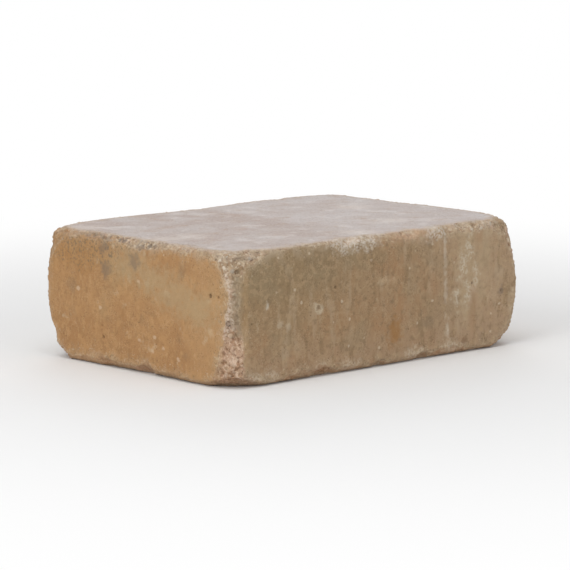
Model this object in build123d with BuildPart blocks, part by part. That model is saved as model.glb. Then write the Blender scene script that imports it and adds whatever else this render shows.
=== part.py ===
from build123d import *

import os
from math import sqrt

# A tumbled wall block: one solid piece of pressed concrete. It leaves the mould as a plain block with
# square arrises and is then turned in a drum with others, which rounds its arrises, breaks them back in
# uneven bands, knocks its corners off and spalls scoops out of its edges. Its broad faces stay as moulded.
#
# X runs along the block from the left end to the right end, Y from the front face to the back face, and
# Z up. The origin is the middle of the bed face that the block lies on. Sizes are in millimetres.

# Size as moulded
length = 300.0
width = 210.0
height = 100.0

# The least rounding that the drum gives to each arris
front_left_rounding = 3.0
front_right_rounding = 5.0
back_right_rounding = 7.0
back_left_rounding = 3.6
top_rounding = 2.2
bed_rounding = 4.0

# How far the crest of a broken band stands out between its two edges, as a share of the band's width
band_crest = 0.1

# How full a knocked corner stays: the larger this is, the nearer its surface comes to a plane
knock_fullness = 60.0

# How far the cutting tools stand out past the moulded faces
overrun = 14.0

# The six faces, by the way that each one looks
LEFT, RIGHT = Vector(-1, 0, 0), Vector(1, 0, 0)
FRONT, BACK = Vector(0, -1, 0), Vector(0, 1, 0)
BED, TOP = Vector(0, 0, -1), Vector(0, 0, 1)


def point_at(looks):
    """The point of the moulded block that lies furthest in the given directions, each -1, 0 or 1."""
    return Vector(looks.X * length / 2, looks.Y * width / 2, (looks.Z + 1) * height / 2)


def arris(first, second):
    """The arris between two faces: a plane across its start, and its length.

    The plane's X and Y look out of the first and the second face, and its Z runs along the arris.
    """
    along = first.cross(second)
    start = point_at(first + second - along)
    end = point_at(first + second + along)
    return Plane(origin=start, x_dir=first, z_dir=along), (end - start).length


def broken_band(first, second, reaches):
    """The tool that breaks an arris back in an uneven band.

    Each entry of reaches says how far the band comes in on the first and on the second face. The entries
    are spread evenly from the arris's start to its end. A low crest runs along the middle of the band.
    """
    start, run = arris(first, second)
    spacing = run / (len(reaches) - 1)
    with BuildPart() as tool:
        for number, (on_first, on_second) in enumerate(reaches):
            edge_on_first = Vector(0, -on_first)
            edge_on_second = Vector(-on_second, 0)
            crest = (edge_on_first + edge_on_second) / 2 + Vector(on_first, on_second) * band_crest
            with BuildSketch(start.offset(number * spacing)):
                with BuildLine():
                    Polyline(
                        crest,
                        edge_on_first + (edge_on_first - crest).normalized() * overrun,
                        (overrun, overrun),
                        edge_on_second + (edge_on_second - crest).normalized() * overrun,
                        close=True,
                    )
                make_face()
        loft()
    return tool.part


def knock(looks, on_length, on_width, on_height):
    """The tool that knocks a corner off, reaching the given distances along its three arrises.

    The surface that it leaves is part of the ball through the three points so reached.
    """
    corner = point_at(looks)
    reach = Vector(on_length, on_width, on_height)
    power = knock_fullness**2
    to_centre = Vector(*[(r * r + power) / (2 * r) for r in reach])
    size = reach + Vector(overrun, overrun, overrun)
    to_middle = (reach - Vector(overrun, overrun, overrun)) / 2

    def inward(distances):
        return corner - Vector(looks.X * distances.X, looks.Y * distances.Y, looks.Z * distances.Z)

    with BuildPart() as tool:
        with Locations(inward(to_middle)):
            Box(*size)
        with Locations(inward(to_centre)):
            Sphere(sqrt(to_centre.length**2 - power), mode=Mode.SUBTRACT)
    return tool.part


def spall(first, second, distance, spread, depth):
    """The tool that spalls a scoop out of an arris, that long and that deep, at a distance from its start.

    A negative distance is counted back from the arris's end.
    """
    start, run = arris(first, second)
    along = distance if distance >= 0 else run + distance
    radius = (spread**2 / 4 + depth**2) / (2 * depth)
    outward = (radius - depth) / sqrt(2)
    with BuildPart() as tool:
        with Locations(start.from_local_coords((outward, outward, along))):
            Sphere(radius)
    return tool.part


bands = [
    # Upright arrises, from the bed to the top
    broken_band(LEFT, FRONT, [(18, 15), (13, 11), (6, 7.4), (5, 7), (6, 18)]),
    broken_band(FRONT, RIGHT, [(20, 20), (8, 8.4), (4, 4.4), (10.4, 11), (18, 18)]),
    broken_band(RIGHT, BACK, [(15, 11), (10, 8), (6, 9), (8, 11), (14, 16)]),
    broken_band(BACK, LEFT, [(18, 18), (6.6, 7), (2.4, 2.6), (4.2, 4.6), (9, 9)]),
    # Arrises of the top, from left to right and from front to back
    broken_band(TOP, FRONT, [(4, 5.6), (2.4, 3), (2.8, 2.8), (4, 5.4), (2.6, 3.2), (3.6, 5), (6, 8)]),
    broken_band(BACK, TOP, [(6, 5), (2.2, 2.4), (3, 4.4), (5.4, 7), (3, 3.2), (3.6, 4), (7, 8)]),
    broken_band(LEFT, TOP, [(5, 4), (3, 3.2), (5.4, 4.2), (3.4, 3), (5, 5)]),
    broken_band(TOP, RIGHT, [(11, 9), (4, 4), (5.6, 5), (10, 8), (8, 7)]),
    # Arrises of the bed, from left to right and from front to back
    broken_band(FRONT, BED, [(9, 9), (4, 6), (5.4, 5), (4, 4.4), (6, 5), (4.6, 5), (9, 9)]),
    broken_band(BED, BACK, [(8, 7), (5.4, 6.2), (4, 7), (8, 6), (4, 5.4), (6, 5.6), (9, 8)]),
    broken_band(BED, LEFT, [(9, 10), (5, 4), (7, 6), (4, 5), (9, 9)]),
    broken_band(RIGHT, BED, [(8, 9), (6, 4.4), (4, 5.6), (7, 6), (9, 7)]),
]

knocks = [
    knock(LEFT + FRONT + TOP, on_length=14, on_width=9, on_height=11),
    knock(LEFT + FRONT + BED, on_length=52, on_width=40, on_height=15),
    knock(RIGHT + FRONT + TOP, on_length=23, on_width=24, on_height=28),
    knock(RIGHT + FRONT + BED, on_length=36, on_width=30, on_height=24),
    knock(LEFT + BACK + TOP, on_length=16, on_width=15, on_height=13),
    knock(LEFT + BACK + BED, on_length=28, on_width=31, on_height=27),
    knock(RIGHT + BACK + TOP, on_length=25, on_width=25, on_height=13),
    knock(RIGHT + BACK + BED, on_length=24, on_width=28, on_height=17),
]

spalls = [
    # Upright arrises
    spall(LEFT, FRONT, distance=30, spread=54, depth=9.6),
    spall(LEFT, FRONT, distance=-22, spread=22, depth=5.6),
    spall(RIGHT, BACK, distance=38, spread=52, depth=9),
    spall(RIGHT, BACK, distance=70, spread=34, depth=7.4),
    spall(BACK, LEFT, distance=14, spread=34, depth=10),
    # Arrises of the top
    spall(TOP, FRONT, distance=22, spread=24, depth=4.6),
    spall(TOP, FRONT, distance=118, spread=28, depth=4.6),
    spall(TOP, FRONT, distance=139, spread=18, depth=4.2),
    spall(TOP, FRONT, distance=180, spread=30, depth=4.6),
    spall(TOP, FRONT, distance=-76, spread=24, depth=5),
    spall(TOP, FRONT, distance=-58, spread=30, depth=6),
    spall(LEFT, TOP, distance=92, spread=34, depth=5.2),
    spall(LEFT, TOP, distance=110, spread=22, depth=4.8),
    spall(LEFT, TOP, distance=-52, spread=26, depth=4.6),
    spall(BACK, TOP, distance=150, spread=44, depth=6),
    spall(BACK, TOP, distance=-66, spread=26, depth=4.4),
    spall(TOP, RIGHT, distance=132, spread=40, depth=7.4),
    # Arrises of the bed
    spall(FRONT, BED, distance=92, spread=40, depth=5.4),
    spall(FRONT, BED, distance=150, spread=20, depth=5),
    spall(FRONT, BED, distance=-104, spread=24, depth=5.2),
    spall(BED, BACK, distance=112, spread=40, depth=6.6),
    spall(BED, BACK, distance=-74, spread=26, depth=6),
    spall(BED, LEFT, distance=96, spread=30, depth=6),
    spall(RIGHT, BED, distance=104, spread=34, depth=6.2),
]

with BuildPart() as wall_block:
    with BuildSketch():
        with BuildLine():
            FilletPolyline(
                point_at(LEFT + FRONT + BED),
                point_at(RIGHT + FRONT + BED),
                point_at(RIGHT + BACK + BED),
                point_at(LEFT + BACK + BED),
                radius=[front_left_rounding, front_right_rounding, back_right_rounding, back_left_rounding],
                close=True,
            )
        make_face()
    extrude(amount=height)
    fillet(wall_block.faces().sort_by(Axis.Z)[-1].edges(), top_rounding)
    fillet(wall_block.faces().sort_by(Axis.Z)[0].edges(), bed_rounding)
    add(bands, mode=Mode.SUBTRACT)
    add(knocks, mode=Mode.SUBTRACT)
    add(spalls, mode=Mode.SUBTRACT)

wall_block.part.label = "wall_block"
os.makedirs("parts", exist_ok=True)
export_step(wall_block.part, "parts/wall_block.step")
print("volume", round(wall_block.part.volume / 1e6, 3), "litres")
print("faces", len(wall_block.faces()), "valid", wall_block.part.is_valid)
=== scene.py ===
# %% [markdown]
# # A tumbled wall block
#
# This lesson dresses a block for garden walls: one solid piece of coloured concrete, 300 mm long, 210 mm
# wide and 100 mm high. It was pressed in a steel mould and then turned in a drum with hundreds of others,
# so that its arrises look as old as those of a quarried stone.
#
# The outline of the block is already modelled elsewhere, at its real size. What is left is what the eye
# reads as stone: the crumbled surface of the broken arrises, the pits in the faces, and the colours.
#
# The first cell loads the outline as a fixed frame, and notes the box that the finished block has to stay in.

# %% Load the frame
import random
from math import cos, radians, sin

import bmesh
import bpy
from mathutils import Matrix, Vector, kdtree, noise


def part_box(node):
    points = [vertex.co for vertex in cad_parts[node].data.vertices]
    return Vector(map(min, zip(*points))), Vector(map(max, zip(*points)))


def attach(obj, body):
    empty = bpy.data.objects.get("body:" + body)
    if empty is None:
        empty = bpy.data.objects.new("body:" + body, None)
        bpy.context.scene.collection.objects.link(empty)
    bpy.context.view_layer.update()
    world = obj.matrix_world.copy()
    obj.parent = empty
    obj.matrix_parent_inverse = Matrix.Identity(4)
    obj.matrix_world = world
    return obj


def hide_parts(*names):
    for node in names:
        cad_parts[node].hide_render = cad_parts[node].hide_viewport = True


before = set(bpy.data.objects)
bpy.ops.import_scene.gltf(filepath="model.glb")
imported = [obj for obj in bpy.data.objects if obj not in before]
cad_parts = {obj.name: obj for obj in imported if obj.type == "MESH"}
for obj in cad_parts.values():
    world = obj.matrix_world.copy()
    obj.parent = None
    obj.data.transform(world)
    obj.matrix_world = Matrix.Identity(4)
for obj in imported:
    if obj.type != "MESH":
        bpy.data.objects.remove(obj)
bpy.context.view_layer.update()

moulded_low, moulded_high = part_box("wall_block")
middle = (moulded_low + moulded_high) / 2
mm = 0.001
print("the block as moulded, in mm:", [round(side / mm) for side in moulded_high - moulded_low])

# %% [markdown]
# ## The camera
#
# The block is seen from its left front corner, from a little above its top. The camera stands 2.55 m away,
# which keeps the upright arrises almost parallel, and a long lens brings the block close. It could also be
# placed by hand, but an azimuth and an elevation say more, and are easier to change.

# %% Camera
view_azimuth, view_elevation = radians(-43.0), radians(8.8)
camera_distance = 2.55

towards_camera = Vector((
    sin(view_azimuth) * cos(view_elevation),
    -cos(view_azimuth) * cos(view_elevation),
    sin(view_elevation),
))
camera = bpy.data.objects.new("camera", bpy.data.cameras.new("camera"))
camera.data.lens = 210
camera.data.sensor_width = 36
camera.location = middle + towards_camera * camera_distance
camera.rotation_euler = towards_camera.to_track_quat("Z", "Y").to_euler()
bpy.context.scene.collection.objects.link(camera)
bpy.context.scene.camera = camera
bpy.context.scene.view_settings.view_transform = "Standard"

# %% [markdown]
# ## Lamps
#
# The block is lit as on an overcast day: large soft lamps, no hard shadow. One lamp stands for the sky above,
# one for the brighter side of the sky, on the side of the left end, and two weaker ones stand for the light
# from the front and from behind. With one lamp all faces would look alike, and the block would look flat.

# %% Lamps
def soft_lamp(name, azimuth, elevation, distance, size, power):
    """A square lamp that looks at the block. Azimuth 0 is in front, and negative ones are to the left."""
    lamp = bpy.data.objects.new(name, bpy.data.lights.new(name, "AREA"))
    lamp.data.size = size
    lamp.data.energy = power
    a, e = radians(azimuth), radians(elevation)
    out = Vector((sin(a) * cos(e), -cos(a) * cos(e), sin(e)))
    lamp.location = middle + out * distance
    lamp.rotation_euler = out.to_track_quat("Z", "Y").to_euler()
    bpy.context.scene.collection.objects.link(lamp)


soft_lamp("sky_lamp", azimuth=-60, elevation=72, distance=2.2, size=1.6, power=16.5)
soft_lamp("left_lamp", azimuth=-80, elevation=28, distance=2.4, size=1.2, power=18)
soft_lamp("front_lamp", azimuth=8, elevation=22, distance=2.6, size=1.4, power=11)
soft_lamp("back_lamp", azimuth=138, elevation=26, distance=2.6, size=1.4, power=13)

# %% [markdown]
# ## Helpers for node trees
#
# World, floor and concrete are all node trees. Each node needs the same three things: make it, set it, link
# it. One helper does that, so that the cells below read as a list of what goes into what.

# %% Node helpers
def new_tree(data):
    """The node tree of a material or a world, emptied."""
    data.use_nodes = True
    data.node_tree.nodes.clear()
    return data.node_tree


def node(kind, inputs, **settings):
    """Adds a node of that kind to the tree. An input is a plain value, or the output that it is linked to."""
    made = tree.nodes.new("ShaderNode" + kind)
    for name, value in settings.items():
        setattr(made, name, value)
    for name, value in inputs.items():
        if isinstance(value, bpy.types.NodeSocket):
            tree.links.new(value, made.inputs[name])
        else:
            made.inputs[name].default_value = value
    return made


def maths(operation, *values):
    """The result of a Math node."""
    return node("Math", dict(enumerate(values)), operation=operation).outputs["Value"]


# %% [markdown]
# ## A white background
#
# The background should be white wherever it is seen: by the camera, in reflections and through glass. But a
# world as bright as that would pour too much light on the block. The Light Path node knows what each ray is
# for, so the world can show one strength and light the block with another.

# %% World
def is_seen():
    """1 on the way to the camera, a mirror or a glass, and 0 on the way to a surface that is lit."""
    rays = node("LightPath", {}).outputs
    mirrored = maths("MAXIMUM", rays["Is Glossy Ray"], rays["Is Transmission Ray"])
    return maths("MAXIMUM", rays["Is Camera Ray"], mirrored)


white = (1.0, 1.0, 1.0, 1.0)
sky_strength = 0.5

world = bpy.data.worlds.new("white sky")
bpy.context.scene.world = world
tree = new_tree(world)
lights = node("Background", {"Color": white, "Strength": sky_strength})
shows = node("Background", {"Color": white, "Strength": 1.0})
choice = node("MixShader", {0: is_seen(), 1: lights.outputs[0], 2: shows.outputs[0]})
node("OutputWorld", {"Surface": choice.outputs[0]})

# %% [markdown]
# ## Floor
#
# The block stands on a pale floor that takes its shadow. Further out the floor fades to the white of the
# background, so that no horizon shows. The fade is seen, but it gives no light.

# %% Floor
floor_half_width = 20
fade_start, fade_end = 0.24, 0.8

floor_mesh = bpy.data.meshes.new("floor")
shape = bmesh.new()
bmesh.ops.create_grid(shape, x_segments=1, y_segments=1, size=floor_half_width)
shape.to_mesh(floor_mesh)
shape.free()
floor = bpy.data.objects.new("floor", floor_mesh)
bpy.context.scene.collection.objects.link(floor)

pale_floor = bpy.data.materials.new("pale floor")
tree = new_tree(pale_floor)
floor_colour = (0.8, 0.8, 0.8, 1.0)
paint = node("BsdfPrincipled", {"Base Color": floor_colour, "Roughness": 0.9, "Specular IOR Level": 0.1})
glow = node("Emission", {"Color": white, "Strength": 1.0})
floor_place = node("TexCoord", {}).outputs["Object"]
away = node("VectorMath", {0: floor_place}, operation="LENGTH").outputs["Value"]
fade = node(
    "MapRange", {"Value": away, "From Min": fade_start, "From Max": fade_end}, interpolation_type="SMOOTHSTEP"
).outputs["Result"]
faded = maths("MULTIPLY", fade, is_seen())
choice = node("MixShader", {0: faded, 1: paint.outputs[0], 2: glow.outputs[0]})
node("OutputMaterial", {"Surface": choice.outputs[0]})
floor_mesh.materials.append(pale_floor)

# %% [markdown]
# ## A fine skin for the block
#
# The loaded outline is a few thousand long triangles, too coarse to carry any relief. They could be
# subdivided, but that keeps their slivers. A voxel remesh wraps the outline in even squares instead. A few
# rounds of smoothing then take the sharpness off every arris, as the drum does.

# %% Copy and remesh the outline
def settle(thing):
    """Replaces an object's mesh by what its modifiers make of it, and drops them."""
    depsgraph = bpy.context.evaluated_depsgraph_get()
    made = bpy.data.meshes.new_from_object(thing.evaluated_get(depsgraph))
    thing.modifiers.clear()
    thing.data = made


weld_distance = 0.001 * mm
skin_pitch = 0.7 * mm
softening_rounds = 8

outline = bpy.data.meshes.new("tumbled_block")
shape = bmesh.new()
shape.from_mesh(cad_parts["wall_block"].data)
bmesh.ops.remove_doubles(shape, verts=shape.verts, dist=weld_distance)
shape.to_mesh(outline)
shape.free()
block = bpy.data.objects.new("tumbled_block", outline)
bpy.context.scene.collection.objects.link(block)

wrap = block.modifiers.new("fine skin", "REMESH")
wrap.mode = "VOXEL"
wrap.voxel_size = skin_pitch
soften = block.modifiers.new("softened arrises", "SMOOTH")
soften.iterations = softening_rounds
settle(block)
skin = block.data.vertices
print("the fine skin has", len(skin), "points")

# %% [markdown]
# ## Where the drum has bitten
#
# The middle of each face never touched anything in the drum. So a point that lies below all six moulded
# faces was laid bare by a blow, and how far it lies below the nearest of them says how deep the blow went.
#
# The border of a bare strip matters as much, because it is what the eye follows. The distance to it comes
# from two search trees, one of the bare points and one of the others. It is counted as positive on a face and
# negative on a strip.

# %% Depth of the wear, and the border
def depth_of_wear(point):
    """How far a point lies below the nearest of the six moulded faces."""
    return min(*(point - moulded_low), *(moulded_high - point))


def search_tree(vertices):
    """A tree that finds the nearest of those points."""
    finder = kdtree.KDTree(len(vertices))
    for vertex in vertices:
        finder.insert(vertex.co, vertex.index)
    finder.balance()
    return finder


bare_depth = 0.35 * mm

bare = [vertex for vertex in skin if depth_of_wear(vertex.co) > bare_depth]
kept = [vertex for vertex in skin if depth_of_wear(vertex.co) <= bare_depth]
bare_tree, kept_tree = search_tree(bare), search_tree(kept)
print("the drum has laid bare", round(100 * len(bare) / len(skin)), "% of the skin")


def from_border(point, depth):
    """How far a point is from the border of a bare strip."""
    return -kept_tree.find(point)[2] if depth > bare_depth else bare_tree.find(point)[2]


# %% [markdown]
# ## What broken concrete looks like
#
# Concrete breaks in three sizes at once. Flakes about a centimetre wide leave shallow scoops, the stones of
# the mix stand out of the cement or leave a socket behind, and the cement itself crumbles into sand. Fractal
# noise alone makes clouds, not stones, so the stones come from Voronoi noise. It cuts space into cells round
# random seeds, and each cell is a stone, a socket or plain cement, by the number that its seed draws.
#
# A level is taken off each of these reliefs, so that what stands out and what is sunk make up for each other.
# Crumbs and sand are lower on a stone, because a stone is smoother than the cement round it.
#
# The vector noise that warps the cells shifts itself by chance when Blender starts. A fixed seed stops that, so
# that the block comes out the same each time.

# %% The broken surface
def ramp(value, start, end):
    """0 before start and 1 after end, with a smooth step between them."""
    t = min(max((value - start) / (end - start), 0.0), 1.0)
    return t * t * (3 - 2 * t)


def rough(point, size, octaves):
    """Fractal noise from about -1 to 1, with features of that size."""
    return noise.fractal(point / size, 1.0, 2.0, octaves)


cell_shoulder = 0.45
seed_scatter = 97


def cell(point, size):
    """How far inside its cell a point is, from 0 at the rim to 1, and the cell's own number from 0 to 1."""
    distances, seeds = noise.voronoi(point / size)
    inside = ramp(distances[1] - distances[0], 0.0, cell_shoulder)
    return inside, 0.5 + 0.5 * noise.cell(seeds[0] * seed_scatter)


flake_size, flake_depth = 10 * mm, 1.2 * mm
stone_size, stone_rise = 3.2 * mm, 0.65 * mm
crumb_size, crumb_rise = 1.7 * mm, 0.42 * mm
sand_size, sand_rise, sand_warp = 1.1 * mm, 0.16 * mm, 0.25 * mm
flake_level, stone_level, crumb_level = 0.6, 0.25, 0.3
flake_warp, socket_depth = 0.3, 1.3
crumbs_lost, sand_lost = 0.6, 0.7
socket_numbers, stone_numbers = 0.1, 0.58
noise.seed_set(5)


def broken_surface(point):
    """How far the broken surface stands out at a point, how much of a stone is there, and its number."""
    warped = point + noise.noise_vector(point / flake_size) * flake_size * flake_warp
    flakes = (noise.voronoi(warped / flake_size)[0][0] - flake_level) * flake_depth
    inside, number = cell(point + noise.noise_vector(point / sand_size) * sand_warp, stone_size)
    stone = inside if number > stone_numbers else 0.0
    socket = inside if number < socket_numbers else 0.0
    stones = (stone - socket_depth * socket - stone_level) * stone_rise
    crumb, crumb_number = cell(point, crumb_size)
    crumbs = (crumb * crumb_number - crumb_level) * crumb_rise * (1 - crumbs_lost * stone)
    sand = rough(point, sand_size, 2) * sand_rise * (1 - sand_lost * stone)
    return flakes + stones + crumbs + sand, stone, (number - stone_numbers) / (1 - stone_numbers)


# %% [markdown]
# ## The moulded faces
#
# A moulded face isn't quite flat: it swells a little, and the sand in it shows. It has to stay within the
# mould, so its relief only goes inwards.

# %% The moulded surface
def moulded_surface(point):
    """How far a moulded face stands out at a point. It is never above 0."""
    swell = (0.5 + 0.5 * rough(point, 45 * mm, 2)) * 0.22 * mm
    dimples = max(rough(point, 6 * mm, 3) - 0.25, 0.0) * 0.25 * mm
    sand = (0.5 + 0.5 * rough(point, 2.0 * mm, 2)) * 0.10 * mm
    return -swell - dimples - sand


# %% [markdown]
# ## The ragged edge between
#
# The border of a broken strip isn't smooth. Small flakes have come off the face beside it, and in other
# places the skin was only bent round the arris and still holds. So noises of four sizes move the border to
# and fro by a few millimetres. The corners and the top were hit most, so there it moves further onto the
# faces: by almost a millimetre along the top, by 3 mm at the corners of the bed, and by almost 8 mm at those
# of the top.

# %% The border of a strip
top_reach, top_hit = 12 * mm, 0.8
corner_far, corner_near = 36 * mm, 12 * mm
bed_corner_hit, top_corner_hit = 3, 7


def corner_distance(point):
    """How far a point is from the nearest corner of the moulded block."""
    return Vector(map(min, point - moulded_low, moulded_high - point)).length


def border_shift(point):
    """How far the drum has moved the border of a strip. It is positive where the strip is narrower for it."""
    chips = rough(point, 24 * mm, 1) * 3.6 + rough(point, 9 * mm, 2) * 2.6
    chips += rough(point, 3 * mm, 2) * 1.3 + rough(point, 1.9 * mm, 1) * 0.7
    corner_hit = bed_corner_hit if point.z < middle.z else top_corner_hit
    hit = ramp(point.z, moulded_high.z - top_reach, moulded_high.z) * top_hit
    hit += ramp(corner_distance(point), corner_far, corner_near) * corner_hit
    return (chips - hit) * mm


# %% [markdown]
# ## Shaping the skin
#
# Each point of the skin is now moved along its normal, by a share of the one relief and a share of the other.
# A Displace modifier could do that with a texture, but a loop can also note what it found at each point. All
# points are worked out first and moved afterwards, so that no point reads the normal of a moved neighbour.
#
# A face that the border has moved over sinks in a shallow slope, which runs on into the strip until the strip
# is deeper. The deeper the blow, the rougher the break, and with some luck a stretch holds longer than the
# one beside it. The arrises of the bed were only rubbed, not broken, and keep more of their skin than the
# others. A rubbed face shows about two thirds of the relief of a broken one.

# %% Relief
flake_slope = 0.34
skin_whole, skin_gone = 0.7 * mm, -0.9 * mm
light_blow, hard_blow = 0.3 * mm, 1.6 * mm
deep_from, deep_to, extra_roughness = 3 * mm, 8 * mm, 0.6
bed_rubbed_from, bed_rubbed_to, bed_spared = 14 * mm, 5 * mm, 0.9
rubbed_relief = 0.62
margin_seen = 30 * mm

notes = {"margin": [], "worn": [], "broken": [], "relief": [], "stone": [], "stone_number": []}
moved = []
for vertex in skin:
    point = vertex.co.copy()
    depth = depth_of_wear(point)
    border = from_border(point, depth) + border_shift(point)
    worn = ramp(border, skin_whole, skin_gone)
    flaked = max(-border * flake_slope - depth, 0.0)
    rubbed = ramp(point.z, bed_rubbed_from, bed_rubbed_to)
    luck = rough(point, 7 * mm, 2) * 0.7 + rough(point, 28 * mm, 1) * 3 - bed_spared * rubbed
    broken = ramp(depth + flaked + luck * mm, light_blow, hard_blow) * worn
    height, stone, number = moulded_surface(point), 0.0, 0.0
    if worn > 0:
        broken_height, stone, number = broken_surface(point)
        broken_height *= 1 + extra_roughness * ramp(depth, deep_from, deep_to)
        height += (broken_height - height) * worn * (rubbed_relief + (1 - rubbed_relief) * broken)
    notes["margin"].append(min(max(border, 0.0), margin_seen) / mm)
    notes["worn"].append(worn)
    notes["broken"].append(broken)
    notes["relief"].append(height / mm)
    notes["stone"].append(stone * worn)
    notes["stone_number"].append(number)
    moved.append(point + vertex.normal * (height - flaked))
for vertex, point in zip(skin, moved):
    vertex.co = point
print("relief from", round(min(notes["relief"]), 2), "to", round(max(notes["relief"]), 2), "mm")

# %% [markdown]
# ## Pits
#
# Air that the press didn't drive out leaves round pits in the faces, one to three millimetres wide. They are
# scattered by chance, but from a fixed seed, so that the block is the same one each time. The ends are small,
# so they are drawn less often than the other faces. A few pits that stand out have their own places. Places
# on a face are given in millimetres, from the block's middle and up from the floor.
#
# A pit is from half as deep as its radius to as deep, and its floor and its rim are shares of the radius too.

# %% Pits
def on_left_end(y, z):
    """A point of the left end."""
    return Vector((moulded_low.x, y * mm, z * mm))


def on_front(x, z):
    """A point of the front face."""
    return Vector((x * mm, moulded_low.y, z * mm))


def on_top(x, y):
    """A point of the top."""
    return Vector((x * mm, y * mm, moulded_high.z))


def on_near_arris(z):
    """A point of the upright arris between the left end and the front."""
    return Vector((-147.5, -99, z)) * mm


pits = [
    # centre, radius and depth
    (on_left_end(-82, 67), 1.6 * mm, 1.4 * mm),
    (on_left_end(-90.5, 67), 1.4 * mm, 1.0 * mm),
    (on_front(-64, 52), 1.7 * mm, 0.7 * mm),
    (on_front(130, 44), 1.5 * mm, 0.8 * mm),
    (on_near_arris(49), 2.2 * mm, 1.6 * mm),
    (on_near_arris(46), 2.0 * mm, 1.4 * mm),
]
pits_in_all = 90
axes_to_draw_from = (0, 1, 1, 2, 2)
smallest_radius, largest_radius, usual_radius = 0.6, 1.5, 0.8
shallowest, deepest = 0.5, 1.0
pit_floor, pit_rim = 0.3, 1.2

chance = random.Random(5)
while len(pits) < pits_in_all:
    centre = Vector([chance.uniform(low, high) for low, high in zip(moulded_low, moulded_high)])
    axis = chance.choice(axes_to_draw_from)
    centre[axis] = chance.choice((moulded_low, moulded_high))[axis]
    radius = chance.triangular(smallest_radius, largest_radius, usual_radius) * mm
    pits.append((centre, radius, radius * chance.uniform(shallowest, deepest)))

skin_tree = search_tree(skin)
for centre, radius, depth in pits:
    for _, index, away in skin_tree.find_range(centre, radius * pit_rim):
        sunk = depth * (1 - ramp(away, radius * pit_floor, radius * pit_rim))
        skin[index].co -= skin[index].normal * sunk
        notes["relief"][index] -= sunk / mm
print("the faces have", len(pits), "pits")

# %% [markdown]
# ## Notes for the paint
#
# The material needs to know how far the next strip is, where the skin is worn or broken, where a stone is
# bared and which one, and where a point is low or high. These are kept as attributes of the points, which
# every later step carries along. The margin and the relief are in millimetres, the others are shares, and the
# number of a stone counts only where there is a stone.

# %% Attributes
for name, values in notes.items():
    block.data.attributes.new(name, "FLOAT", "POINT").data.foreach_set("value", values)

# %% [markdown]
# ## Thinning out
#
# Flat stretches don't need the fine squares. The Decimate modifier merges them first and keeps the broken
# strips fine, because it always takes away the edge that changes the shape least. The skin is made of
# squares, and each counts as two triangles. After that, whatever stands out of the mould by a hair is set
# back into it, because no block is larger than its mould.

# %% Decimate
triangle_limit = 196000

thin = block.modifiers.new("thin", "DECIMATE")
thin.ratio = triangle_limit / (2 * len(block.data.polygons))
settle(block)
for polygon in block.data.polygons:
    polygon.use_smooth = True
for vertex in block.data.vertices:
    for axis in range(3):
        vertex.co[axis] = min(max(vertex.co[axis], moulded_low[axis]), moulded_high[axis])
triangles = sum(len(polygon.vertices) - 2 for polygon in block.data.polygons)
print("the block has", triangles, "triangles")
for name in notes:
    values = [item.value for item in block.data.attributes[name].data]
    print(name, "from", round(min(values), 2), "to", round(max(values), 2))

# %% [markdown]
# ## Tools for the concrete's colours
#
# Concrete never has one colour. The pigment clouds, water leaves streaks, lime blooms white on the skin, and
# sand and stones show wherever the skin is gone. Each of these is one layer: a colour, and a share that says
# where it lies. All of them read the place on the block itself, in metres, so they stay put from every side.
#
# The Mix node has sockets for numbers, vectors and colours side by side, all with the same names, so those
# for colours are picked by their numbers: inputs 6 and 7, and output 2.

# %% Layers of colour
def srgb(red, green, blue):
    """A picture's colour, from 0 to 255, turned by the sRGB formula into the linear one of a shader."""
    linear = []
    for channel in (red / 255, green / 255, blue / 255):
        linear.append(channel / 12.92 if channel < 0.04045 else ((channel + 0.055) / 1.055) ** 2.4)
    return (*linear, 1.0)


concrete = bpy.data.materials.new("tumbled concrete")
tree = new_tree(concrete)
place = node("TexCoord", {}).outputs["Object"]


def over(below, colour, share, most=1.0):
    """A colour laid over another one where the share is 1, and only as densely as most says."""
    density = share if most == 1.0 else maths("MULTIPLY", share, most)
    return node("Mix", {0: density, 6: below, 7: colour}, data_type="RGBA").outputs[2]


def step(value, start, end):
    """0 at start and 1 at end, with a smooth step between them."""
    inputs = {"Value": value, "From Min": start, "From Max": end}
    return node("MapRange", inputs, interpolation_type="SMOOTHSTEP").outputs["Result"]


def both(first, second):
    """The share where two shares meet."""
    return maths("MULTIPLY", first, second)


# %% [markdown]
# Most layers lie in clouds. Two layers with the same clouds would lie on top of each other, so where clouds
# of one size are used again, they are shifted by another number. Clouds from 0 to 1 don't make a share yet: a
# patch begins where they pass one value, and is dense from another value on.

# %% Clouds and patches
def note(name):
    """One of the block's attributes."""
    return node("Attribute", {}, attribute_name=name).outputs["Fac"]


def clouds(size, octaves=3.0, drawn_out=1.0, shift=0.0):
    """Noise with clouds of that size, from 0 to 1 and mostly near 0.5. It may be drawn out along Z."""
    scale = (1 / size, 1 / size, 1 / (size * drawn_out))
    mapped = node("Mapping", {"Vector": place, "Location": (shift, shift, shift), "Scale": scale})
    return node("TexNoise", {"Vector": mapped.outputs[0], "Scale": 1.0, "Detail": octaves}).outputs["Fac"]


def patches(size, start, end, octaves=3.0, drawn_out=1.0, shift=0.0):
    """A share that is 0 where the clouds are at start, and 1 where they are at end."""
    return step(clouds(size, octaves, drawn_out, shift), start, end)


def swing(noise_from_0_to_1, width):
    """The same noise, swinging about 0 over that width."""
    return maths("MULTIPLY", maths("SUBTRACT", noise_from_0_to_1, 0.5), width)


# %% [markdown]
# Other layers lie on one face or near one end. Their borders follow a place along an axis, but a straight
# border would look painted on, so a slow noise moves it to and fro by up to 8 mm.

# %% Places on the block
wave = swing(clouds(14 * mm, shift=8.0), 16 * mm)
along_axis = node("SeparateXYZ", {0: place}).outputs
half = (moulded_high - moulded_low) / 2


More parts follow.
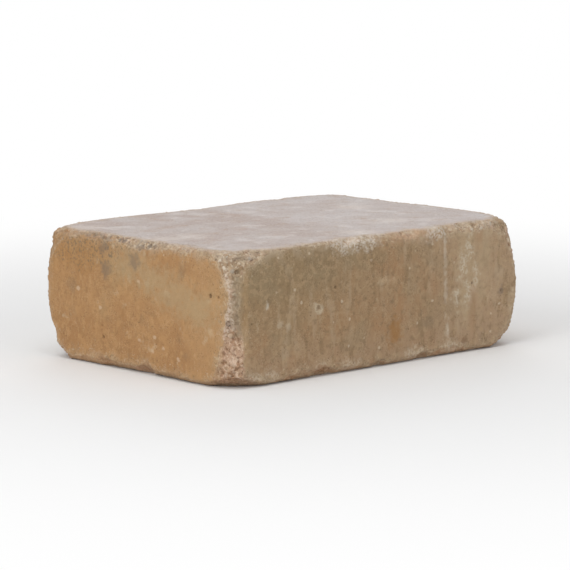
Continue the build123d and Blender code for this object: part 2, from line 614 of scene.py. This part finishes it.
def along(axis, start, end):
    """0 where a point's place along an axis is start, and 1 where it is end, both in mm, wavy in between."""
    return step(maths("ADD", along_axis[axis], wave), start * mm, end * mm)


def towards(axis, start, end, waviness):
    """0 where a point is further than start inside the faces that an axis goes through, and 1 from end on."""
    number = "XYZ".index(axis)
    centred = maths("SUBTRACT", along_axis[axis], middle[number])
    wavy = maths("ADD", maths("ABSOLUTE", centred), maths("MULTIPLY", wave, waviness))
    return step(wavy, half[number] - start * mm, half[number] - end * mm)


# %% [markdown]
# ## The pigment of the ends
#
# The ends were pressed against clean steel, so they show the pigment best: a warm ochre, with browner and
# more olive clouds in it, and a leathery mottle a few millimetres wide.

# %% Ends
ochre = srgb(170, 130, 88)
brown_ochre = srgb(163, 122, 81)
olive_ochre = srgb(168, 137, 98)
bright_ochre = srgb(181, 141, 96)
leather_brown = srgb(148, 113, 76)
straw = srgb(192, 156, 112)
pale_straw = srgb(184, 149, 108)

ends = over(ochre, brown_ochre, patches(38 * mm, 0.45, 0.7))
ends = over(ends, olive_ochre, patches(46 * mm, 0.5, 0.68, shift=7.0), 0.7)
ends = over(ends, bright_ochre, patches(7 * mm, 0.46, 0.64, shift=3.0), 0.6)
ends = over(ends, leather_brown, patches(4 * mm, 0.5, 0.7, shift=5.0), 0.5)
ends = over(ends, straw, patches(3 * mm, 0.54, 0.74, drawn_out=2.5, shift=6.0), 0.4)
ends = over(ends, pale_straw, along("Y", -30, -95), 0.35)

# %% [markdown]
# ## The pigment of the long sides
#
# The long sides rubbed along the steel when the block was pushed out of its mould. That left the cement paste
# smeared upright, so they are greyer, with pale and dark streaks, all drawn out along Z. Towards the right
# end the smear is thicker and paler.

# %% Long sides
tan = srgb(158, 130, 99)
warm_tan = srgb(160, 127, 94)
grey_tan = srgb(143, 125, 97)
olive_grey_and_painted_shade = srgb(140, 121, 91)
pale_tan = srgb(169, 145, 119)
rosy_tan_and_bounce_light = srgb(166, 140, 115)
pale_streak = srgb(178, 158, 131)
dark_streak = srgb(130, 107, 78)
pale_mottle = srgb(172, 146, 113)
dark_mottle = srgb(124, 103, 78)

sides = over(tan, warm_tan, patches(34 * mm, 0.42, 0.6, shift=2.0))
# Higher up and towards the left end the long sides are painted darker and more olive: partly their own olive
# tone, partly painted shade.
sides = over(sides, olive_grey_and_painted_shade, both(along("Z", 10, 80), along("X", 40, -110)), 0.75)
sides = over(sides, grey_tan, patches(30 * mm, 0.48, 0.66, shift=9.0), 0.6)
sides = over(sides, pale_tan, along("X", 10, 120), 0.6)
# Towards the bed the long sides are painted pinker and lighter: partly bloom, partly painted bounce light from
# below.
sides = over(sides, rosy_tan_and_bounce_light, along("Z", 40, 5), 0.4)
streaked = patches(30 * mm, 0.35, 0.6, octaves=2.0, shift=12.0)
sides = over(sides, pale_streak, both(patches(9 * mm, 0.5, 0.7, octaves=4.0, drawn_out=3.5), streaked), 0.5)
sides = over(sides, dark_streak, patches(6 * mm, 0.52, 0.7, octaves=4.0, drawn_out=3.0, shift=5.0), 0.5)
sides = over(sides, pale_mottle, patches(4.5 * mm, 0.48, 0.66, shift=3.0), 0.5)
sides = over(sides, dark_mottle, patches(5 * mm, 0.5, 0.7, shift=5.0), 0.45)

# %% [markdown]
# ## The bloom on the broad faces
#
# The broad faces dried in the open, and lime came out on them as a pale, slightly pink film. It is thicker in
# some clouds than in others, and the ochre shows faintly through it. The bed took up dirt, so it is browner.
# Dark and pale grains share one noise: the dark ones lie where it is high, the pale ones where it is low.

# %% Bloom
painted_light_white = srgb(195, 189, 188)
bloom_grey = srgb(186, 178, 175)
bloom_pink = srgb(175, 161, 155)
bloom_tan = srgb(176, 156, 143)
bloom_brown = srgb(168, 150, 140)
chalk_veil = srgb(208, 202, 199)
chalk_grain = srgb(210, 204, 200)
dirt_grain = srgb(148, 132, 120)
worn_through = srgb(170, 148, 130)
bed_dirt = srgb(166, 138, 108)

bloom = over(bloom_pink, bloom_grey, patches(48 * mm, 0.4, 0.6, shift=4.0), 0.8)
# The right half of the broad faces is painted whiter: a painted highlight, as of light from above.
bloom = over(bloom, painted_light_white, along("X", -9, 9), 0.42)
bloom = over(bloom, bloom_tan, patches(20 * mm, 0.5, 0.75, octaves=2.0, shift=6.0), 0.5)
bloom = over(bloom, bloom_brown, patches(4 * mm, 0.52, 0.75, shift=10.0), 0.4)
bloom = over(bloom, chalk_grain, patches(2.5 * mm, 0.55, 0.75, shift=19.0), 0.4)
bloom = over(bloom, dirt_grain, patches(1.4 * mm, 0.56, 0.74, octaves=2.0, shift=34.0), 0.45)
bloom = over(bloom, chalk_grain, patches(1.4 * mm, 0.44, 0.26, octaves=2.0, shift=34.0), 0.4)
bloom = over(bloom, chalk_veil, patches(18 * mm, 0.53, 0.68, octaves=4.0, shift=38.0), 0.42)
bloom = over(bloom, bed_dirt, along("Z", 40, 20), 0.55)
bloom = over(bloom, worn_through, patches(9 * mm, 0.56, 0.72, octaves=4.0, shift=33.0), 0.4)

# %% [markdown]
# Other blocks slid over it in the drum and left faint scuffs. The Mapping node turns space before it
# stretches it only when its type is Texture, so that is how the scuffs get a slant.

# %% Scuffs in the bloom
def scuffs(width, length, angle):
    """Scuffs on the broad faces, each that wide and long, turned by an angle from X."""
    inputs = {"Vector": place, "Rotation": (0, 0, radians(angle)), "Scale": (length, width, width)}
    turned = node("Mapping", inputs, vector_type="TEXTURE").outputs[0]
    return step(node("TexNoise", {"Vector": turned, "Scale": 1.0, "Detail": 3.0}).outputs["Fac"], 0.57, 0.72)


pale_scuff = srgb(206, 200, 198)
dark_scuff = srgb(164, 146, 134)

slid_over = patches(26 * mm, 0.5, 0.64, shift=30.0)
bloom = over(bloom, pale_scuff, both(scuffs(1.8 * mm, 24 * mm, 14), slid_over), 0.4)
bloom = over(bloom, dark_scuff, both(scuffs(1.4 * mm, 17 * mm, -52), slid_over), 0.35)

# %% [markdown]
# ## Putting the faces together
#
# Which pigment a point has follows from the moulded face that it lies in. Stains of dirt and of lime lie over
# the ends and the long sides. Near the strips the drum has worn the skin thin, in a fringe up to 15 mm wide,
# and lime has crept a little way over the arrises of the top.

# %% Faces
dirt_stain = srgb(124, 106, 84)
lime_stain = srgb(196, 176, 146)
thin_skin = srgb(184, 164, 138)
thin_bloom = srgb(186, 164, 144)
crept_lime = srgb(182, 166, 144)

fringe = step(maths("ADD", note("margin"), swing(clouds(5 * mm, 4.0, shift=21.0), 16.0)), 7.0, 0.0)
creep = both(along("Z", 84, 99), patches(11 * mm, 0.42, 0.62, octaves=4.0, shift=14.0))

skin_colour = over(sides, ends, towards("X", 6, 1, 0.4))
skin_colour = over(skin_colour, dirt_stain, patches(21 * mm, 0.6, 0.76, octaves=4.0, shift=31.0), 0.4)
skin_colour = over(skin_colour, lime_stain, patches(12 * mm, 0.62, 0.74, octaves=4.0, shift=32.0), 0.4)
skin_colour = over(skin_colour, thin_skin, fringe, 0.25)
skin_colour = over(skin_colour, crept_lime, creep, 0.38)
skin_colour = over(skin_colour, over(bloom, thin_bloom, fringe, 0.55), towards("Z", 1.8, 0.5, 0.15))

# %% [markdown]
# ## Sand
#
# Every face shows the sand of the mix: grains of about a millimetre, a little lighter or darker than the
# paste. The pores between them are too small for any mesh, so their shade is painted on as dark dots.

# %% Sand and pores
dark_sand = srgb(112, 90, 66)
pale_sand = srgb(200, 180, 152)
# The colour of painted shade in pores and pits.
hollow_shade = srgb(98, 78, 58)

sand = clouds(0.9 * mm, 2.0)
sandy = patches(13 * mm, 0.35, 0.65, shift=16.0)
skin_colour = over(skin_colour, dark_sand, both(step(sand, 0.5, 0.8), sandy), 0.4)
skin_colour = over(skin_colour, pale_sand, both(step(sand, 0.5, 0.2), sandy), 0.3)

# Pores are dark dots of painted shade.
pore_shade = both(patches(1.3 * mm, 0.64, 0.72, octaves=1.0, shift=22.0), patches(17 * mm, 0.4, 0.6))
skin_colour = over(skin_colour, hollow_shade, pore_shade, 0.5)

# %% [markdown]
# Here and there a pale grain stands out. Each seed of a Voronoi pattern may be the middle of one: the red of
# its random colour says whether it is, and the green how large, as a share of the spacing. A ripple in space
# keeps the grains from being round.

# %% Pale grains
pale_grain = srgb(204, 188, 166)
ripple_size, ripple_width = 2.5 * mm, 2.5 * mm
grain_spacing = 8 * mm
largest_grain = 0.17

ripple = node("TexNoise", {"Vector": place, "Scale": 1 / ripple_size, "Detail": 2.0}).outputs["Color"]
ripple = node("VectorMath", {0: ripple, 1: (0.5, 0.5, 0.5)}, operation="SUBTRACT").outputs[0]
widths = (ripple_width, ripple_width, ripple_width)
ragged = node("VectorMath", {0: ripple, 1: widths, 2: place}, operation="MULTIPLY_ADD").outputs[0]

seeds = node("TexVoronoi", {"Vector": ragged, "Scale": 1 / grain_spacing}).outputs
drawn = node("SeparateColor", {0: seeds["Color"]}).outputs
beyond_rim = maths("SUBTRACT", seeds["Distance"], maths("MULTIPLY", drawn["Green"], largest_grain))
grains = both(step(beyond_rim, 0.02, -0.03), step(drawn["Red"], 0.68, 0.78))
skin_colour = over(skin_colour, pale_grain, grains, 0.5)

# %% [markdown]
# ## Specks beside the strips
#
# A blow that breaks an arris also bruises the face beside it. The bruises are specks, some laid bare and
# pale, some filled with dirt, and they thin out with the distance from the strip. So that distance is taken
# off the noise that makes them.

# %% Specks
dirt_filled = srgb(122, 104, 80)
laid_bare = srgb(194, 176, 148)
fading_per_mm = 0.014

bruising = maths("ADD", clouds(1.8 * mm, shift=24.0), maths("MULTIPLY", note("margin"), -fading_per_mm))
bruising = maths("ADD", bruising, swing(clouds(15 * mm, shift=29.0), 0.5))
speck = over(dirt_filled, laid_bare, patches(4 * mm, 0.44, 0.58, octaves=2.0, shift=25.0))
skin_colour = over(skin_colour, speck, step(bruising, 0.505, 0.625), 0.5)

# %% [markdown]
# ## Marks with a place of their own
#
# Some marks stand out so much that everyone would know this block by them. Each is a ball of colour in space,
# stretched along the axes and with a ragged rim. Only the part of it that the surface cuts through is seen.
#
# Spots of one size share their nodes: space is squeezed until they are balls of radius 1, and the nearest
# centre decides. That matters, because a shader's memory is small, and a block that is too much for it
# turns black.

# %% Spots
blots = swing(clouds(4.5 * mm, 4.0, shift=20.0), 3.0)


def spots(centres, half_widths, fuzz):
    """1 inside any of these spots and 0 outside. Half widths are in mm, and fuzz is the share of the rim."""
    widths = [width * mm for width in half_widths]
    squeezed = node("VectorMath", {0: ragged, 1: widths}, operation="DIVIDE").outputs[0]
    away = None
    for centre in centres:
        goal = [side / width for side, width in zip(centre, widths)]
        distance = node("VectorMath", {0: squeezed, 1: goal}, operation="DISTANCE").outputs["Value"]
        away = distance if away is None else maths("MINIMUM", away, distance)
    return step(maths("ADD", away, blots), 1 + fuzz / 2, 1 - fuzz / 2)


# %% [markdown]
# The left end has a long paler patch that runs down to the front, three grey smudges, a sprinkle of pale
# specks, and in its upper back corner a stronger orange under specks of dirt.

# %% Marks of the left end
patch_colour = srgb(172, 149, 114)
corner_orange = srgb(160, 116, 68)
dirt_speck = srgb(118, 104, 82)
smudge = srgb(122, 106, 90)
pale_speck = srgb(206, 184, 158)

long_patch = [on_left_end(6, 80), on_left_end(-20, 72), on_left_end(-44, 63), on_left_end(-64, 56)]
dirty_corner = [on_left_end(72, 90), on_left_end(46, 92)]
orange_corner = [on_left_end(84, 86), on_left_end(58, 84)]
smudges = [on_left_end(36, 90), on_left_end(35, 74), on_left_end(2, 83)]
pale_specks = [
    on_left_end(-3, 25), on_left_end(-20, 29), on_left_end(-18, 19), on_left_end(-31, 22),
    on_left_end(-47, 16), on_left_end(67, 56), on_left_end(41, 44), on_left_end(-3, 69),
]

speckled = patches(2.2 * mm, 0.5, 0.62, octaves=2.0, shift=26.0)
skin_colour = over(skin_colour, patch_colour, spots(long_patch, (6, 22, 10), 1.6), 0.6)
skin_colour = over(skin_colour, corner_orange, spots(orange_corner, (8, 20, 16), 1.6), 0.4)
skin_colour = over(skin_colour, dirt_speck, both(spots(dirty_corner, (8, 26, 16), 1.4), speckled), 0.65)
skin_colour = over(skin_colour, smudge, spots(smudges, (4, 5, 6), 1.4), 0.6)
skin_colour = over(skin_colour, pale_speck, spots(pale_specks, (1.4, 1.6, 1.3), 1.2), 0.5)

# %% [markdown]
# The front has a thin run of lime and a chalky smear on the right, a rusty spot, a pit with a pale ring, and
# some small blots. Lime is never an even coat. It is gone in places, and it is grainy where it is left.

# %% Marks of the front
smear_wash = srgb(178, 158, 128)
chalk = srgb(198, 187, 168)
run_lime = srgb(194, 181, 164)
warm_streak = srgb(158, 121, 90)
pale_blot = srgb(192, 178, 156)
white_blot = srgb(206, 198, 184)
grey_blot = srgb(118, 106, 94)
brown_blot = srgb(112, 82, 58)
rust = srgb(150, 106, 56)
ring_lime = srgb(192, 178, 154)
ring_middle = srgb(140, 117, 91)

lime_left = patches(9 * mm, 0.36, 0.56, shift=27.0)
chalky = patches(1.7 * mm, 0.34, 0.6, shift=28.0)
smears = [on_front(90, 76), on_front(96, 62), on_front(103, 54), on_front(94, 42), on_front(108, 80)]
dabs = [on_front(95, 82), on_front(88, 68), on_front(100, 58), on_front(79, 44), on_front(93, 46)]
warm_streaks = [on_front(105, 91), on_front(99, 38), on_front(98, 28)]
beside_arris = [on_front(-136.5, z) for z in (30, 48, 66, 82)]
lime_run = [on_front(67.5, 82), on_front(68.5, 58), on_front(69.5, 34), on_front(71, 18)]
pale_blots = [on_front(-103, 44), on_front(-94, 41)]
ringed_pit = on_front(-64, 52)

skin_colour = over(skin_colour, smear_wash, spots(smears, (11, 4, 20), 1.6), 0.5)
skin_colour = over(skin_colour, chalk, both(spots(dabs, (4, 4, 9), 1.8), both(chalky, lime_left)), 0.7)
skin_colour = over(skin_colour, run_lime, both(spots(lime_run, (1.3, 4, 16), 1.6), lime_left), 0.48)
skin_colour = over(skin_colour, warm_streak, spots(warm_streaks, (4, 4, 12), 1.6), 0.4)
skin_colour = over(skin_colour, straw, spots(beside_arris, (3.5, 4, 13), 1.8), 0.25)
skin_colour = over(skin_colour, grey_blot, spots([on_front(130, 44)], (3, 3, 3.6), 1.4), 0.5)
skin_colour = over(skin_colour, brown_blot, spots([on_front(89, 10)], (2.6, 3, 2.6), 1.2), 0.55)
skin_colour = over(skin_colour, pale_blot, spots(pale_blots, (2.2, 3, 2.4), 1.4), 0.4)
skin_colour = over(skin_colour, white_blot, spots([on_front(-115, 59)], (1.2, 3, 2.8), 1.2), 0.5)
skin_colour = over(skin_colour, rust, spots([on_front(14.5, 25)], (6, 4, 9), 1.8), 0.65)
skin_colour = over(skin_colour, ring_lime, spots([ringed_pit], (3.7, 3.7, 3.7), 0.9), 0.65)
skin_colour = over(skin_colour, ring_middle, spots([ringed_pit], (2.2, 2.2, 2.2), 0.6), 0.8)

# %% [markdown]
# Water stood in shallow puddles on the top, and where the last of it dried, the bloom is thick.
# These spots are flat balls, so that they don't reach far down the sides.

# %% Marks of the top
thick_bloom = srgb(214, 206, 199)

puddles = [
    on_top(-132, -14), on_top(-112, -16), on_top(-138, 74), on_top(96, 24), on_top(60, -54), on_top(-4, -84),
]
skin_colour = over(skin_colour, thick_bloom, spots(puddles, (13, 12, 5), 1.7), 0.4)

# %% [markdown]
# ## Broken concrete
#
# Inside, the concrete is paler and rougher: cream cement, with stones of every colour that a gravel pit has.
# Which colour a stone takes is read from the number that its cell drew.

# %% Paste and stones
cream_paste = srgb(170, 147, 120)
brown_paste = srgb(150, 122, 93)
rosy_paste = srgb(186, 156, 136)
pale_crumb = srgb(202, 185, 162)
dark_crumb = srgb(114, 89, 66)

paste = over(cream_paste, brown_paste, patches(8 * mm, 0.42, 0.62, shift=1.0))
paste = over(paste, rosy_paste, patches(17 * mm, 0.5, 0.7, octaves=2.0, shift=18.0), 0.6)
paste = over(paste, pale_crumb, patches(1.8 * mm, 0.5, 0.64, octaves=2.0, shift=2.0), 0.75)
paste = over(paste, dark_crumb, patches(2.2 * mm, 0.54, 0.66, octaves=2.0, shift=3.0), 0.7)

stone_colours = [
    # the lowest number that has it, and the colour
    (0.0, srgb(200, 182, 158)),
    (0.25, srgb(186, 153, 134)),
    (0.45, srgb(152, 145, 134)),
    (0.6, srgb(164, 126, 88)),
    (0.75, srgb(206, 194, 176)),
    (0.88, srgb(128, 98, 72)),
]
picked = node("ValToRGB", {0: note("stone_number")})
stops = picked.color_ramp
stops.interpolation = "CONSTANT"
stops.elements[1].position = stone_colours[1][0]
for lowest, colour in stone_colours[2:]:
    stops.elements.new(lowest)
for stop, (lowest, colour) in zip(stops.elements, stone_colours):
    stop.color = colour
inside_colour = over(paste, picked.outputs["Color"], note("stone"), 0.75)

# %% [markdown]
# The hollows are painted darker the deeper they are, as painted shade, and what stands out is paler, partly
# rubbed pale and partly a painted highlight. The break is limier near the top and browner near the bed.
# The arris above the left end kept more of its pigment, under specks of grey.

# %% Painted shade, highlights and lime on the broken concrete
crevice_shade = srgb(102, 80, 60)
rubbed_pale_and_highlight = srgb(206, 192, 172)
arris_ochre = srgb(164, 120, 76)
arris_grey = srgb(108, 98, 90)
arris_lime = srgb(206, 194, 178)
foot_brown = srgb(160, 118, 84)

# Painted shade: the deeper a hollow, the darker it is painted.
inside_colour = over(inside_colour, crevice_shade, step(note("relief"), -0.35, -1.2), 0.65)
# What stands out is painted paler: partly rubbed pale, partly a painted highlight.
inside_colour = over(inside_colour, rubbed_pale_and_highlight, step(note("relief"), 0.1, 0.5), 0.4)
grey_arris = [on_left_end(48, 97), on_left_end(20, 96), on_left_end(-8, 96)]
ochre_arris = [on_left_end(92, 95), on_left_end(70, 96), on_left_end(46, 95)]
inside_colour = over(inside_colour, arris_ochre, spots(ochre_arris, (8, 20, 8), 1.4), 0.6)
grey_specks = both(spots(grey_arris, (7, 20, 7), 1.2), patches(4 * mm, 0.46, 0.56, octaves=2.0, shift=39.0))
inside_colour = over(inside_colour, arris_grey, grey_specks, 0.7)
inside_colour = over(inside_colour, foot_brown, along("Z", 16, 4), 0.6)
inside_colour = over(inside_colour, arris_lime, both(along("Z", 91, 99), lime_left), 0.32)

# %% [markdown]
# The upright arris in front tells the most. Its foot broke at its coarsest, into crumbs about three
# millimetres wide, and above that it was rubbed in two: limy on the side of the end, and olive grey on the
# other. Everywhere else the pigment went deeper in places, and there the break is nearly as ochre as the
# skin.

# %% The upright arris in front
coarse_paste = srgb(188, 148, 120)
coarse_dark = srgb(110, 78, 54)
coarse_pale = srgb(218, 192, 170)
side_olive = srgb(141, 125, 101)
side_lime = srgb(208, 190, 172)

foot_of_arris = Vector((-146, -101, 26)) * mm
coarse_foot = spots([foot_of_arris], (22, 22, 30), 0.7)
crumb_clouds = clouds(3.1 * mm, shift=37.0)
inside_colour = over(inside_colour, coarse_paste, coarse_foot, 0.4)
inside_colour = over(inside_colour, coarse_dark, both(coarse_foot, step(crumb_clouds, 0.54, 0.63)), 0.6)
inside_colour = over(inside_colour, coarse_pale, both(coarse_foot, step(crumb_clouds, 0.45, 0.35)), 0.6)
deep_pigment = both(patches(26 * mm, 0.42, 0.58, shift=35.0), maths("SUBTRACT", 1.0, coarse_foot))
inside_colour = over(inside_colour, skin_colour, deep_pigment, 0.55)

rubbed_heights = range(50, 78, 12)
olive_side = [Vector((-142, -104, z)) * mm for z in rubbed_heights]
limy_side = [Vector((-149, -99, z)) * mm for z in rubbed_heights]
inside_colour = over(inside_colour, side_olive, spots(olive_side, (7, 5, 12), 1.0), 0.72)
inside_colour = over(inside_colour, side_lime, both(spots(limy_side, (3.5, 3.5, 12), 1.0), chalky), 0.7)

# %% [markdown]
# ## From skin to broken concrete
#
# Where the drum only rubbed the skin off, the pigment still shows, and the sand stands out of it. Where it
# broke something off, the inside of the concrete shows. The rim of a broken strip was hit most often of all,
# and in places it is rubbed to a thin pale line.

# %% Skin and broken concrete
rim_pale = srgb(204, 188, 166)

worn, broken = note("worn"), note("broken")
# Where the skin lies deep in a pit it is painted darker: painted shade.
skin_with_pit_shade = over(skin_colour, hollow_shade, step(note("relief"), -0.5, -1.3), 0.6)
rubbed_skin = over(skin_with_pit_shade, inside_colour, step(worn, 0.2, 0.8), 0.55)
colour = over(rubbed_skin, inside_colour, broken)

rim = both(step(worn, 0.02, 0.2), step(worn, 0.8, 0.35))
colour = over(colour, rim_pale, both(rim, patches(9 * mm, 0.42, 0.6, shift=11.0)), 0.28)

# %% [markdown]
# Lime ran over the upper and the lower arris of the front, and a stretch of the upper one stayed orange.
# These lie over skin and break alike, so they come last.

# %% Lime on the arrises of the front
arris_white = srgb(208, 199, 188)
arris_orange = srgb(194, 150, 116)
lip_pale = srgb(200, 186, 166)

limy_arris = [on_front(x, 97) for x in (-40, -26, -14, 58)]
orange_arris = [on_front(x, 97) for x in (24, 38)]
pale_lip = [on_front(x, 7) for x in (-128, -112, -32, 35, 76)]
colour = over(colour, arris_white, both(spots(limy_arris, (11, 6, 6), 1.6), chalky), 0.68)
colour = over(colour, arris_orange, spots(orange_arris, (12, 5, 5), 1.7), 0.33)
colour = over(colour, lip_pale, both(spots(pale_lip, (9, 6, 4), 1.6), chalky), 0.5)

# %% [markdown]
# ## Relief too fine for the mesh
#
# The mesh carries what is wider than a millimetre and stands out by a tenth of one. What is finer or lower
# comes from a Bump node, which changes the shading only: two sizes of sand everywhere, and a third where the
# skin is gone.

# %% Bump
fine_relief = maths("ADD", clouds(0.8 * mm, shift=13.0), maths("MULTIPLY", clouds(2.6 * mm, shift=36.0), 1.3))
fine_relief = maths("ADD", fine_relief, maths("MULTIPLY", worn, clouds(1.4 * mm, 2.0)))
bump = node("Bump", {"Height": fine_relief, "Strength": 0.7, "Distance": 0.5 * mm})

# %% [markdown]
# Dry concrete hardly shines: its roughness is near 1, and half the usual gloss is left. Both are the same all
# over the block, so they are plain numbers on the shader itself.

# %% Finish of the concrete
surface = node(
    "BsdfPrincipled",
    {"Base Color": colour, "Roughness": 0.9, "Specular IOR Level": 0.25, "Normal": bump.outputs["Normal"]},
)
node("OutputMaterial", {"Surface": surface.outputs[0]})
block.data.materials.clear()
block.data.materials.append(concrete)
print("the concrete has", len(tree.nodes), "nodes")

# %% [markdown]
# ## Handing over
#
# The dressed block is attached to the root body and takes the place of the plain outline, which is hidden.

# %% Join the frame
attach(block, "root")
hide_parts("wall_block")
